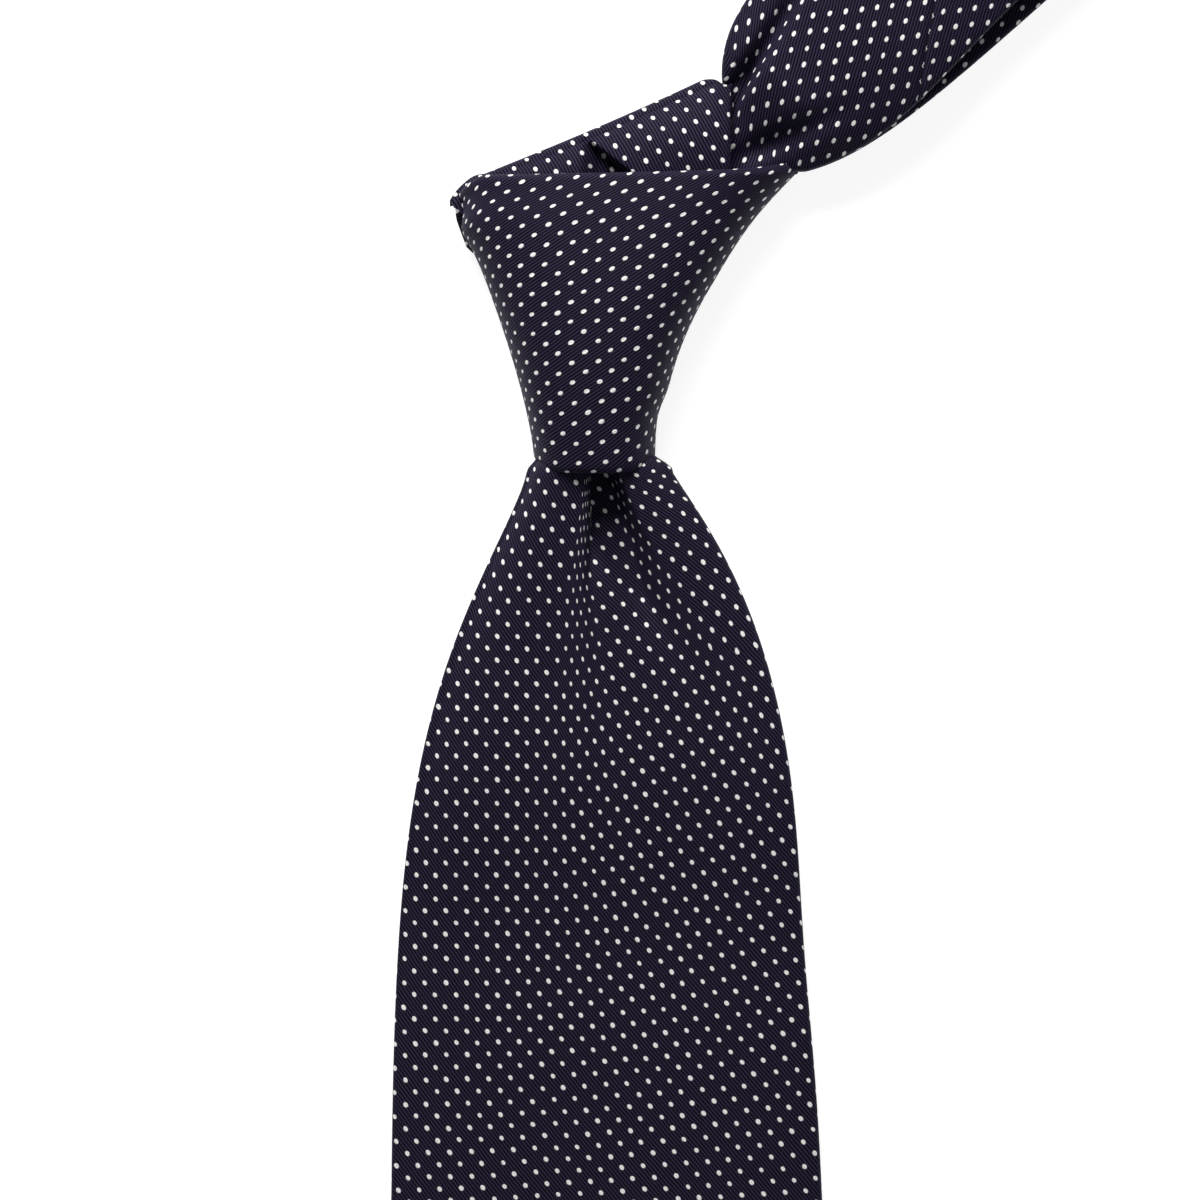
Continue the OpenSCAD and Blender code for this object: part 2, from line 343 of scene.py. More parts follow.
def blade_face(x, d, pressed=1.0):
    left, right = blade_sides(d)
    t = np.clip((x - (left + right) / 2) / ((right - left) / 2), -1, 1)
    down = np.maximum(d, 0)
    crest = BLADE_UNDER + 2.2 * (1 - ease(d, 45, 85)) + 3.2 + 4.2 * np.exp(-down / 24)
    fall_left = (5.5 * np.exp(-down / 60) + 0.9) * np.abs(t) ** 6
    fall_right = (4.0 * np.exp(-down / 25) + 0.9) * np.abs(t) ** 3
    high = crest - np.where(t < 0, fall_left, fall_right) - pressed * dimple(x, d) - blade_droop(x, d)
    low = blade_back(x, d)
    high = np.maximum(high, low + 1.15)
    return low + (high - low) * (1 - 0.9 * np.exp(-(right - left) / 5))


def column_slope(q, y, u):
    """How far a pattern column moves sideways for each millimetre along a band."""
    rows = len(y)
    slope = np.zeros_like(q)
    for i in range(1, rows - 1):
        before = np.interp(u[i], u[i - 1], q[i - 1])
        after = np.interp(u[i], u[i + 1], q[i + 1])
        slope[i] = (after - before) / (y[i + 1] - y[i - 1])
    slope[0], slope[-1] = slope[1], slope[-2]
    kernel = np.hanning(15)
    kernel /= kernel.sum()
    padded = np.pad(slope, ((7, 7), (0, 0)), mode="edge")
    return np.stack([np.convolve(padded[:, j], kernel, "valid") for j in range(q.shape[1])], -1)


def pad_top(x, d):
    """The pad lies under the silk, with extra room round the dimple."""
    relief = 4.0 * bell(x - 1, 7) * np.exp(-np.maximum(d, 0) / 28)
    return np.maximum(blade_face(x, d) - 1.0 - relief, blade_back(x, d) + 0.75)


def build_blade(silk, wool, lining, thread, woven):
    d = np.concatenate([np.arange(-8, 30, 0.9), np.arange(30, 130, 1.8),
                        np.arange(130, BLADE_CORNER, 3.4), np.linspace(BLADE_CORNER, BLADE_RUN, 30)])
    y = BLADE_TOP - d
    column = d[:, None]
    left, right = blade_sides(d)
    corner_y = BLADE_TOP - BLADE_CORNER
    apex = corner_y + BLADE_OPEN_UP
    opening = diamond_opening(y, apex, corner_y, corner_y - BLADE_OPEN_DOWN, BLADE_OPEN_REACH)

    def section(pressed):
        return folded_section(left, right, lambda x: blade_face(x, column, pressed),
                              lambda x: blade_back(x, column), opening, BLADE_COLUMNS)

    q, h, face = section(1.0)
    points = place(*along_y(y), q, h)
    unpressed = section(0.0)[1]
    arc = run_length(place(*along_y(y), q, unpressed), 1)
    gather = 1.07 - 0.07 * ease(d, 40, 120)
    zero = np.array([np.interp(0.3, q[i, face], arc[i, face]) for i in range(len(y))])
    shift = cloth_taken(q, column)
    shift[:, :face.start] = shift[:, face.start:face.start + 1]
    shift[:, face.stop:] = shift[:, face.stop - 1:face.stop]
    u = (arc - zero[:, None]) * gather[:, None] + shift
    slope = column_slope(q[:, face], y, u[:, face])
    slope *= (1 - ease(d, 300, 390))[:, None]
    steps = np.diff(q[:, face], axis=1) * (slope[:, 1:] + slope[:, :-1]) / 2
    rise = np.hstack([np.zeros((len(y), 1)), np.cumsum(steps, axis=1)])
    rise -= np.array([np.interp(0.3, q[i, face], rise[i]) for i in range(len(y))])[:, None]
    v = np.repeat(y[:, None], q.shape[1], 1)
    v[:, face] += rise
    v[:, :face.start] += rise[:, :1]
    v[:, face.stop:] += rise[:, -1:]
    cloth = cloth_object("blade_silk", points, turned(u, v, 3.5), silk)
    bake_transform(cloth)
    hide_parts("blade_shell")

    pad_d = np.concatenate([np.arange(-6, 60, 3.0), np.arange(60, BLADE_CORNER, 12),
                            [BLADE_CORNER, BLADE_RUN - 14]])
    left, right = blade_sides(pad_d)
    column = pad_d[:, None]
    q, h = pad_section(left + 2.6, right - 2.6, lambda x: pad_top(x, column),
                       lambda x: blade_back(x, column) + 0.5, 40)
    pad = pad_object("blade_wool", place(*along_y(BLADE_TOP - pad_d), q, h), wool)
    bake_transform(pad)
    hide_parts("blade_interlining")

    build_tipping("blade_lining", "blade_tipping", "blade", lining, 0.0, corner_y, BLADE_OPEN_REACH, 62, 36,
                  lambda x, yy: blade_back(x, BLADE_TOP - yy) + 1.15)

    seam_y = np.linspace(apex + 5, BLADE_TOP - 60, 120)
    seam = np.stack([np.zeros(120), seam_y, blade_back(0 * seam_y, BLADE_TOP - seam_y) + 0.05], -1)
    sew("blade_seam_thread", "blade_slip_stitch", "blade", seam, thread, pitch=6.0, length=3.2, width=0.42)
    tack_z = float(blade_back(0.0, BLADE_TOP - apex)) - 0.1
    bar_tack("blade_tack_thread", "blade_bar_tack", "blade", (0.0, apex + 1.6, tack_z), 7.0, 1.5, thread)
    build_keeper(silk)
    build_label(woven, thread)


def build_tipping(name, node, body, lining, x, corner_y, reach, up, down, height):
    """Lining that fills the gap between the back flaps, tucked a little way under them."""
    y = np.linspace(corner_y + up, corner_y - down, 46)
    half = np.where(y > corner_y, (corner_y + up - y) / up, (y - corner_y + down) / down) * (reach + 4) + 0.6
    q = half[:, None] * np.linspace(-1, 1, 34)
    grid_y = np.repeat(y[:, None], 34, 1)
    h = height(x + q, grid_y) + 0.12 * np.sin(grid_y / 5.3 + q / 9) * bell(q, 18)
    points = np.stack([x + q, grid_y, h], -1)
    sheet = facing_down(name, points, np.stack([q, grid_y], -1), lining, 0.2)
    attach(sheet, body)
    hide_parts(node)


def build_keeper(silk):
    """Narrow silk band across the blade's back, bowed up a little at its ends."""
    half = (keeper_high[0] - keeper_low[0]) / 2
    t = np.linspace(-1, 1, 61)
    bow = keeper_low[2] + 0.75 * np.abs(t) ** 6
    edge = 0.18 * np.abs(np.linspace(-1, 1, 15)) ** 4
    x, grid_y = np.meshgrid(half * t, np.linspace(keeper_high[1], keeper_low[1], 15))
    points = np.stack([x, grid_y, bow[None] + edge[:, None]], -1)
    made = facing_down("keeper_silk", points, turned(grid_y, x, 0), silk, 0.45)
    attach(made, "blade")
    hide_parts("keeper_loop")


def build_label(woven, thread):
    """Blank woven label, sewn down at its two ends."""
    x = np.linspace(label_low[0], label_high[0], 30)
    y = np.linspace(label_high[1], label_low[1], 22)
    gx, gy = np.meshgrid(x, y)
    h = label_low[2] + 0.12 + 0.06 * np.sin(gx / 4.1) * np.sin(gy / 3.3)
    made = facing_down("label_woven", np.stack([gx, gy, h], -1), np.stack([gx, gy], -1), woven, 0.22)
    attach(made, "blade")
    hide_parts("care_label")
    for number, end in enumerate((label_low[0] + 1.2, label_high[0] - 1.2)):
        line = np.stack([np.full(30, end), np.linspace(label_low[1] + 1, label_high[1] - 1, 30),
                         np.full(30, label_low[2] + 0.04)], -1)
        sew(f"label_thread_{number + 1}", None, "blade", line, thread, pitch=2.0, length=1.3, width=0.22)


# ---- tail ----
TAIL_TOP = core_low[1] - 4
TAIL_HALF = (tail_high[0] - tail_low[0]) / 2
TAIL_RUN = TAIL_TOP - tail_low[1] + 0.5
TAIL_CORNER = TAIL_RUN - TAIL_HALF
TAIL_T = 2.6
TAIL_OPEN_REACH = TAIL_HALF - 10
TAIL_OPEN_UP = 22.4
TAIL_OPEN_DOWN = 10


def tail_half(d):
    straight = TAIL_HALF - (TAIL_CORNER - d) * 0.015
    inside = 6.8
    full = TAIL_HALF - TAIL_CORNER * 0.015
    half = straight - (full - inside) * np.exp(-((np.maximum(d, 0) / 30) ** 1.15))
    half = np.where(d < 0, inside, half)
    return half * (1 - 0.99 * np.clip((d - TAIL_CORNER) / TAIL_HALF, 0, 1))


def tail_back(x, d):
    return core_low[2] * (1 - ease(d, 0, 20)) + 0.02 + 0 * x


def tail_face(x, d):
    half = tail_half(d)
    t = np.clip((x - TAIL_X) / half, -1, 1)
    thick = TAIL_T - 0.8 * np.abs(t) ** 4 + 0.25 * (1 - ease(d, -6, 20))
    pleat = 0.9 * bell(x - TAIL_X - 1.5, 1.2) * (1 - ease(d, 0, 45))
    return tail_back(x, d) + (thick - pleat) * (1 - 0.9 * np.exp(-half / 2.5))


def build_tail(silk, wool, lining, thread):
    d = np.concatenate([np.arange(TAIL_TOP - 20, 60, 2.0), np.arange(60, TAIL_CORNER, 5),
                        np.linspace(TAIL_CORNER, TAIL_RUN - 0.3, 20)])
    y = TAIL_TOP - d
    column = d[:, None]
    half = tail_half(d)
    corner_y = TAIL_TOP - TAIL_CORNER
    apex = corner_y + TAIL_OPEN_UP
    opening = diamond_opening(y, apex, corner_y, corner_y - TAIL_OPEN_DOWN, TAIL_OPEN_REACH)
    q, h, face = folded_section(TAIL_X - half, TAIL_X + half, lambda x: tail_face(x, column),
                                lambda x: tail_back(x, column), opening, TAIL_COLUMNS, seam=TAIL_X)
    points = place(*along_y(y), q, h)
    arc = run_length(points, 1)
    middle = (face.start + face.stop) // 2
    u = arc - arc[:, middle:middle + 1]
    v = np.repeat(y[:, None], q.shape[1], 1)
    cloth = cloth_object("tail_silk", points, turned(u, v, 2.0), silk)
    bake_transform(cloth)
    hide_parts("tail_core", "tail_shell")

    pad_d = np.concatenate([np.arange(2, 60, 6.0), np.arange(60, TAIL_CORNER, 14),
                            [TAIL_CORNER, TAIL_RUN - 14]])
    column = pad_d[:, None]
    half = tail_half(pad_d) - 2.2
    q, h = pad_section(TAIL_X - half, TAIL_X + half, lambda x: tail_face(x, column) - 0.7,
                       lambda x: tail_back(x, column) + 1.1, 20)
    pad = pad_object("tail_wool", place(*along_y(TAIL_TOP - pad_d), q, h), wool)
    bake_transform(pad)
    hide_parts("tail_interlining")

    build_tipping("tail_lining", "tail_tipping", "tail", lining, TAIL_X, corner_y, TAIL_OPEN_REACH, 25, 13,
                  lambda x, yy: 0.95 + 0 * x)
    seam_y = np.linspace(apex + 6, TAIL_TOP - 60, 100)
    seam = np.stack([np.full(100, TAIL_X), seam_y, np.full(100, 0.25)], -1)
    sew("tail_seam_thread", "tail_slip_stitch", "tail", seam, thread, pitch=6.0, length=3.2, width=0.36)
    bar_tack("tail_tack_thread", "tail_bar_tack", "tail", (TAIL_X, apex + 2.0, 0.22), 5.0, 1.2, thread)


# ---- knot ----
WRAP_BASE = 3.0
WRAP_SQUARE = 2 / 2.6
FOLD_RADIUS = 1.25


def wrap_outline(rise):
    left = -11.3 - 14.9 * rise ** 1.35 + 2.4 * ease(rise, 0.84, 1.0)
    right = 9.4 + 23.6 * rise ** 2.05 + 1.0 * ease(rise, 0.12, 0.26) * (1 - ease(rise, 0.6, 0.9))
    return left, right


def knot_height(y):
    return KNOT_TOP - 2.5 * ((y - 3) / 28) ** 2


def wrap_height(x, rise=1.0):
    """Height of the front wrap's face over a place on the table."""
    left, right = wrap_outline(rise)
    t = np.clip(np.abs(x - (left + right) / 2) / ((right - left) / 2), 0, 0.999)
    top = knot_height(KNOT_Y * (2 * rise - 1)) - WRAP_BASE
    return WRAP_BASE + top * (1 - t ** (2 / WRAP_SQUARE)) ** (WRAP_SQUARE / 2)


def wrap_point(angle, rise):
    """A point on the front wrap: angle 0 is its left side, 180 its right, and past them it tucks behind."""
    left, right = wrap_outline(rise)
    middle, half = (left + right) / 2, (right - left) / 2
    c, s = np.cos(np.radians(angle)), np.sin(np.radians(angle))
    x = middle - half * signed_power(c, WRAP_SQUARE)
    high = knot_height(KNOT_Y * (2 * rise - 1)) - WRAP_BASE
    z = WRAP_BASE + np.where(s > 0, high * np.abs(s) ** WRAP_SQUARE, -0.8 * np.abs(s))
    across = np.clip((x - middle) / half, -1, 1)
    y_low = -KNOT_Y + 0.5 + 2.4 * across ** 4
    y_high = 24.35 + 0.025 * x
    y_high = np.where(x < -19, 23.9 - 3.6 * ((-19 - x) / 5.3) ** 2, y_high)
    return np.stack([x, y_low * (1 - rise) + y_high * rise, z], -1)


def surface_normals(points):
    n = np.cross(np.gradient(points, axis=1), np.gradient(points, axis=0))
    n /= np.linalg.norm(n, axis=-1, keepdims=True) + 1e-9
    middle = n[n.shape[0] // 2, n.shape[1] // 2]
    return n if middle[2] > 0 else -n


def rolled(edge, normal, outward, radius, steps=8):
    """Rows that turn the cloth under at a fold."""
    turns = np.radians(np.linspace(0, 180, steps + 1))[1:]
    return [edge + outward * radius * math.sin(t) - normal * radius * (1 - math.cos(t)) for t in turns]


def unit(v):
    return v / (np.linalg.norm(v, axis=-1, keepdims=True) + 1e-9)


def fold_both_ends(points, radius, back_rows):
    """The same sheet with its first and last rows turned under and running back inside."""
    n = surface_normals(points)
    start_out = unit(points[0] - points[1])
    end_out = unit(points[-1] - points[-2])
    start = rolled(points[0], n[0], start_out, radius)
    start += [points[k] - n[k] * 2 * radius for k in range(1, back_rows)]
    end = rolled(points[-1], n[-1], end_out, radius)
    end += [points[-1 - k] - n[-1 - k] * 2 * radius for k in range(1, back_rows)]
    return np.stack(start[::-1] + list(points) + end), len(start)


def build_front_wrap(silk, wool):
    angle = np.linspace(-50, 230, 151)[None]
    rise = np.linspace(0, 1, 72)[:, None]
    face = wrap_point(angle, rise)
    points, added = fold_both_ends(face, FOLD_RADIUS, 11)
    across = run_length(points, 1)
    across -= across[:, 75:76]
    down = run_length(points, 0)
    down -= down[added + 36:added + 37]
    u = 1.067 * np.repeat(down[:, 75:76], down.shape[1], 1) * -1
    v = 0.895 * across
    made = cloth_object("knot_wrap_silk", points, turned(u, v, 3.8), silk)
    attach(made, "knot")
    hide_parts("knot_front_wrap")

    inner = wrap_point(np.linspace(8, 172, 61)[None], np.linspace(0.03, 0.97, 30)[:, None])
    pad = grid_object("knot_wrap_wool", inner - surface_normals(inner) * 0.75)
    pad.data.materials.append(wool)
    thicken(pad, 1.0)
    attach(pad, "knot")
    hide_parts("knot_wrap_interlining")


def build_back_wrap(silk):
    """The wrap behind the knot, which shows as a thin strip at the upper left."""
    y = np.linspace(22.2, -22.5, 50)
    rise = (y + KNOT_Y) / (2 * KNOT_Y)
    left, right = wrap_outline(rise)
    left = left + 1.2 - 2.3 * ease(y, 10.5, 13) * (1 - 0.4 * ease(y, 20.5, 22))
    right = right - 2.5
    q, h = pad_section(left, right, lambda x: 2.3 + 1.6 * ease(-x, 14, 22), level(0.15), 40)
    points = place(*along_y(y), q, h)
    made = pad_object("knot_back_silk", points, silk, turned(-points[..., 1], points[..., 0], -6))
    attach(made, "knot")
    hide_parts("knot_back_wrap")


def build_core_pass(silk):
    """The gathered first crossing that fills the knot out."""
    y = np.linspace(17, -21, 30)
    t = (y + 22) / 38
    left, right = -7 - 9 * t, 5 + 11 * t
    q, h = pad_section(left, right, lambda x: 8.8 + 0.25 * np.sin(x * 1.9), level(6.0), 40)
    points = place(*along_y(y), q, h)
    made = pad_object("knot_core_silk", points, silk, turned(-points[..., 1], points[..., 0], 8))
    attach(made, "knot")
    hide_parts("knot_core_pass")


OVER_LEFT = -25.5
OVER_RIGHT = 21.0
OVER_COLUMNS = 120
OVER_TURN = -8.5


def over_fold(x):
    """The over pass's top fold, seen from above."""
    run = np.maximum(x + 19.6, 0)
    left_end = np.maximum(-19.6 - x, 0) / 6.2
    return 23.9 + 0.385 * run + 0.0012 * run ** 2 - 2.9 * left_end ** 1.8 - 1.2 * left_end ** 8


def over_pit(x, y):
    """Hollow pinched into the over pass beside the knot's top edge."""
    slant = 30.2 - 0.8 * (x + 0.5)
    return 4.2 * ease(slant - y, 0, 1.3) * ease(x, -3.6, 0.2) * (1 - ease(x, 5.2, 6.4))


def build_over_pass(silk):
    x = np.linspace(OVER_LEFT, OVER_RIGHT, OVER_COLUMNS)[None]
    share = np.concatenate([np.linspace(0, 0.3, 10)[:-1], np.linspace(0.3, 1, 56)])[:, None]
    fold_y = over_fold(x) - 1.6 * ease(x, 18.6, 21.6) ** 2
    start_y = 16.5 + 3.1 * ease(-x, 20.5, -OVER_LEFT)
    y = start_y + (fold_y - start_y) * np.sin(share * math.pi / 2) ** 0.9
    ceiling = wrap_height(np.clip(x, -22.6, 30)) - 3.2
    drop = 1.4 + 3.0 * ease(fold_y - 22.5, 0, 14)
    base = np.minimum(22.5, fold_y - 1.4)
    t = np.clip((y - base) / (fold_y - base + 0.15), 0, 1)
    bulge = 0.9 * np.sin(math.pi * t) * ease(x, 2, 12)
    z = ceiling - drop + drop * (1 - t ** 2.2) ** 0.5 + bulge
    side = x + 0.7 * (1 - share) * ease(-x, 22.5, -OVER_LEFT)
    face = np.stack([side, y, z - over_pit(x, y)], -1)
    plain = np.stack([side, y, z], -1)
    turns = np.radians(np.linspace(0, 180, 8))[1:]
    right = np.array([1.0, 0, 0])
    up = np.array([0, 0, 1.0])
    columns = [face[:, -1] + right * 1.2 * math.sin(a) - up * 1.2 * (1 - math.cos(a)) for a in turns]
    columns += [columns[-1] - right * 1.0 * k for k in range(1, 4)]
    face = np.concatenate([face, np.stack(columns, 1)], 1)
    edge_x = face[-1, :, :1]
    radius = 1.5 - 1.3 * ease(edge_x, 17, OVER_RIGHT) - 1.0 * ease(-edge_x, 21, -OVER_LEFT)
    radius[OVER_COLUMNS:] = 0.2
    end = rolled(face[-1], up, np.array([0, 1.0, 0]), radius)
    stride = np.clip((face[-1, :, 1] - face[0, :, 1]) / 7, 0.05, 1)[:, None]
    back = [end[-1] - np.array([0, 1.0, 0]) * stride * k for k in range(1, 6)]
    points = np.stack(list(face) + end + back)
    across = points[..., 0].copy()
    turned_in = points.shape[1] - OVER_COLUMNS
    across[:, OVER_COLUMNS:] = OVER_RIGHT + np.arange(1, turned_in + 1) * 0.54
    down = run_length(plain, 0)
    down = np.hstack([down, np.repeat(down[:, -1:], turned_in, 1)])
    under = run_length(points, 0)[len(plain) - 1:]
    down = np.vstack([down, down[-1] + under[1:] - under[:1]])
    down += np.interp(points[0, :, 0], x[0], start_y[0])
    made = cloth_object("knot_over_silk", points, turned(across, down, OVER_TURN), silk)
    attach(made, "knot")
    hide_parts("knot_over_pass")


# ---- neck band ----
def band_frame(s):
    """Origins and directions for rows across the band's flat runs."""
    along = np.array([math.cos(NECK_ANGLE), math.sin(NECK_ANGLE)])
    origin = np.zeros((len(s), 3))
    origin[:, :2] = NECK_START + s[:, None] * along
    side = np.tile([along[1], -along[0], 0.0], (len(s), 1))
    return origin, side


def band_edges(s, upper):
    """Left and right edges of a run, measured to the right of its middle line."""
    near = np.maximum(s, -3)
    left = -(NECK_HALF - 8.5 * np.exp(-near / 7.5))
    right = NECK_HALF - 0.1 - 5.6 * np.exp(-near / 11)
    tuck = ease(-s, 0, 6) * 3
    if upper:
        right = right - 3.2 * ease(s, 6, 50) * (1 - ease(s, 110, 180))
    return left + tuck, right - tuck


def band_pleats(q, s):
    deep = 6.4 * np.exp(-np.maximum(s + 2, 0) / 17) * (1 - ease(s, 13, 30))
    away = q + 4.9 + 0.29 * (s + 2)
    deep = deep * bell(away, np.where(away > 0, 1.1, 2.0))
    second = 2.2 * bell(s, 9) * bell(q - 4.6 - 0.3 * (s + 2), 2.2)
    return deep + second


BLADE_SEAM = 42
TAIL_SEAM = 84
SEAM_SLANT = 1.27


def bias_seam(q, s, at):
    """How far a place lies past the slanting seam between two panels."""
    return (s - at + SEAM_SLANT * q) / math.hypot(1, SEAM_SLANT)


def throat_floor(s):
    return NECK_UPPER - 3.4 + 3.4 * ease(s, -4, 28)


def upper_thickness(q, s):
    left, right = band_edges(s, True)
    t = np.clip((q - (left + right) / 2) / ((right - left) / 2), -1, 1)
    crown = 4.0 * ease(s, -5, 7) * np.exp(-np.maximum(s - 7, 0) / 22)
    full = NECK_T + crown * (1 - t ** 2) - 0.9 * np.abs(t) ** 4
    full = np.maximum(full - band_pleats(q, s), 0.5)
    wave = 0.22 * np.sin(s / 17 + 0.6) * np.cos(q / 13) * ease(s, 10, 40)
    past = bias_seam(q, s, BLADE_SEAM)
    groove = 0.55 * bell(past, 0.38) - 0.12 * bell(past - 1.0, 0.5)
    return full + wave - groove


def lower_thickness(q, s):
    left, right = band_edges(s, False)
    t = np.clip((q - (left + right) / 2) / ((right - left) / 2), -1, 1)
    groove = 0.3 * bell(bias_seam(q, s, TAIL_SEAM), 0.45)
    return NECK_T - 0.9 * np.abs(t) ** 4 - groove


def band_pattern(points, face, along, jump):
    arc = run_length(points, 1)
    middle = (face.start + face.stop) // 2
    u = (arc - arc[:, middle:middle + 1]) / 0.90
    v = np.repeat(along[:, None] / 1.12, arc.shape[1], 1)
    return turned(u + 1.4 * jump, v + 0.8 * jump, -1.0)


def build_throats(silk):
    s = np.concatenate([np.arange(-13, 16, 0.6), np.arange(16, BAND_JOIN, 0.5), [BAND_JOIN]])
    column = s[:, None]
    origin, side = band_frame(s)
    up = np.tile([0, 0, 1.0], (len(s), 1))
    closed = np.full(len(s), CLOSED)
    left, right = band_edges(s, True)
    q, h, face = folded_section(left, right, lambda x: throat_floor(column) + upper_thickness(x, column),
                                lambda x: throat_floor(column) + 0 * x, closed, NECK_COLUMNS)
    points = place(origin, side, up, q, h)
    past = (bias_seam(q, column, BLADE_SEAM) > 0).astype(float)
    made = cloth_object("neck_throat_upper_silk", points, band_pattern(points, face, s, past), silk)
    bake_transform(made)
    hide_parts("neck_throat_upper", "knot_neck_gather", "blade_join_seam")

    left, right = band_edges(s, False)
    floor = 2.7 * (1 - ease(s, -4, 9))[:, None]
    q, h, face = folded_section(left, right, lambda x: lower_thickness(x, column), level(0),
                                closed, TAIL_COLUMNS)
    points = place(origin + [0, 0, NECK_T], side, -up, q, h)
    points[..., 2] += floor
    made = cloth_object("neck_throat_lower_silk", points, band_pattern(points, face, -s, 0 * q), silk)
    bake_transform(made)
    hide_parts("neck_throat_lower")


def loop_path(upper_s, turns, lower_s):
    """Rows up the upper run, round the bend at the back of the neck, and back down the lower run."""
    mid = (NECK_UPPER + NECK_T) / 2
    inner = (NECK_UPPER - NECK_T) / 2
    s = np.concatenate([upper_s, NECK_BEND + inner * np.sin(turns), lower_s])
    flat_up, flat_low = np.ones(len(upper_s)), np.ones(len(lower_s))
    z = np.concatenate([flat_up * NECK_UPPER, mid + inner * np.cos(turns), flat_low * NECK_T])
    lean = np.concatenate([0 * flat_up, np.sin(turns), 0 * flat_low])
    lift = np.concatenate([flat_up, np.cos(turns), -flat_low])
    origin, side = band_frame(s)
    origin[:, 2] = z
    along = np.array([math.cos(NECK_ANGLE), math.sin(NECK_ANGLE), 0])
    normal = lean[:, None] * along + lift[:, None] * np.array([0, 0, 1.0])
    share = np.concatenate([0 * flat_up, turns / math.pi, flat_low])
    return s, origin, side, normal, share


def loop_edges(s, share):
    """Left and right edges where the band goes over from its upper run to its lower."""
    up_left, up_right = band_edges(s, True)
    low_left, low_right = band_edges(s, False)
    return up_left * (1 - share) + low_left * share, up_right * (1 - share) + low_right * share


def build_loop(silk, wool, thread):
    upper_s = np.concatenate([np.arange(BAND_JOIN, 66, 0.7), np.arange(66, NECK_BEND, 3.0)])
    turns = np.radians(np.linspace(0, 180, 17))
    lower_s = np.arange(NECK_BEND - 1, BAND_JOIN, -2.0)
    lower_s = np.append(lower_s, BAND_JOIN)
    s, origin, side, normal, share = loop_path(upper_s, turns, lower_s)
    left, right = loop_edges(s, share)
    column, mix = s[:, None], share[:, None]

    def thickness(q):
        return upper_thickness(q, column) * (1 - mix) + lower_thickness(q, column) * mix

    closed = np.full(len(s), CLOSED)
    q, h, face = folded_section(left, right, thickness, level(0), closed, NECK_COLUMNS)
    points = place(origin, side, normal, q, h)
    walked = run_length(origin + normal * NECK_T / 2, 0) + BAND_JOIN
    past = ((bias_seam(q, column, BLADE_SEAM) > 0) | (mix > 0)).astype(float)
    past += ((bias_seam(q, column, TAIL_SEAM) < 0) & (mix >= 1)).astype(float)
    made = cloth_object("neck_band_silk", points, band_pattern(points, face, walked, past), silk)
    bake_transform(made)
    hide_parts("neck_upper_run", "neck_lower_run", "neck_bend", "tail_join_seam")

    upper_s = np.arange(BAND_JOIN + 26, NECK_BEND, 5.0)
    lower_s = np.arange(NECK_BEND - 1, BAND_JOIN + 26, -5.0)
    s, origin, side, normal, share = loop_path(upper_s, turns[::2], lower_s)
    left, right = loop_edges(s, share)
    q, h = pad_section(left + PAD_INSET, right - PAD_INSET, level(NECK_T - 1.1), level(1.05), 20)
    pad = pad_object("neck_wool", place(origin, side, normal, q, h), wool)
    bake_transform(pad)
    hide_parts("neck_interlining")

    s, origin, side, normal, share = loop_path(np.arange(BAND_JOIN + 40, NECK_BEND, 2.0), turns,
                                               np.arange(NECK_BEND - 1, BAND_JOIN + 40, -2.0))
    sew("neck_seam_thread", "neck_slip_stitch", "neck_loop", origin - normal * 0.05, thread,
        pitch=6.0, length=3.2, width=0.42)


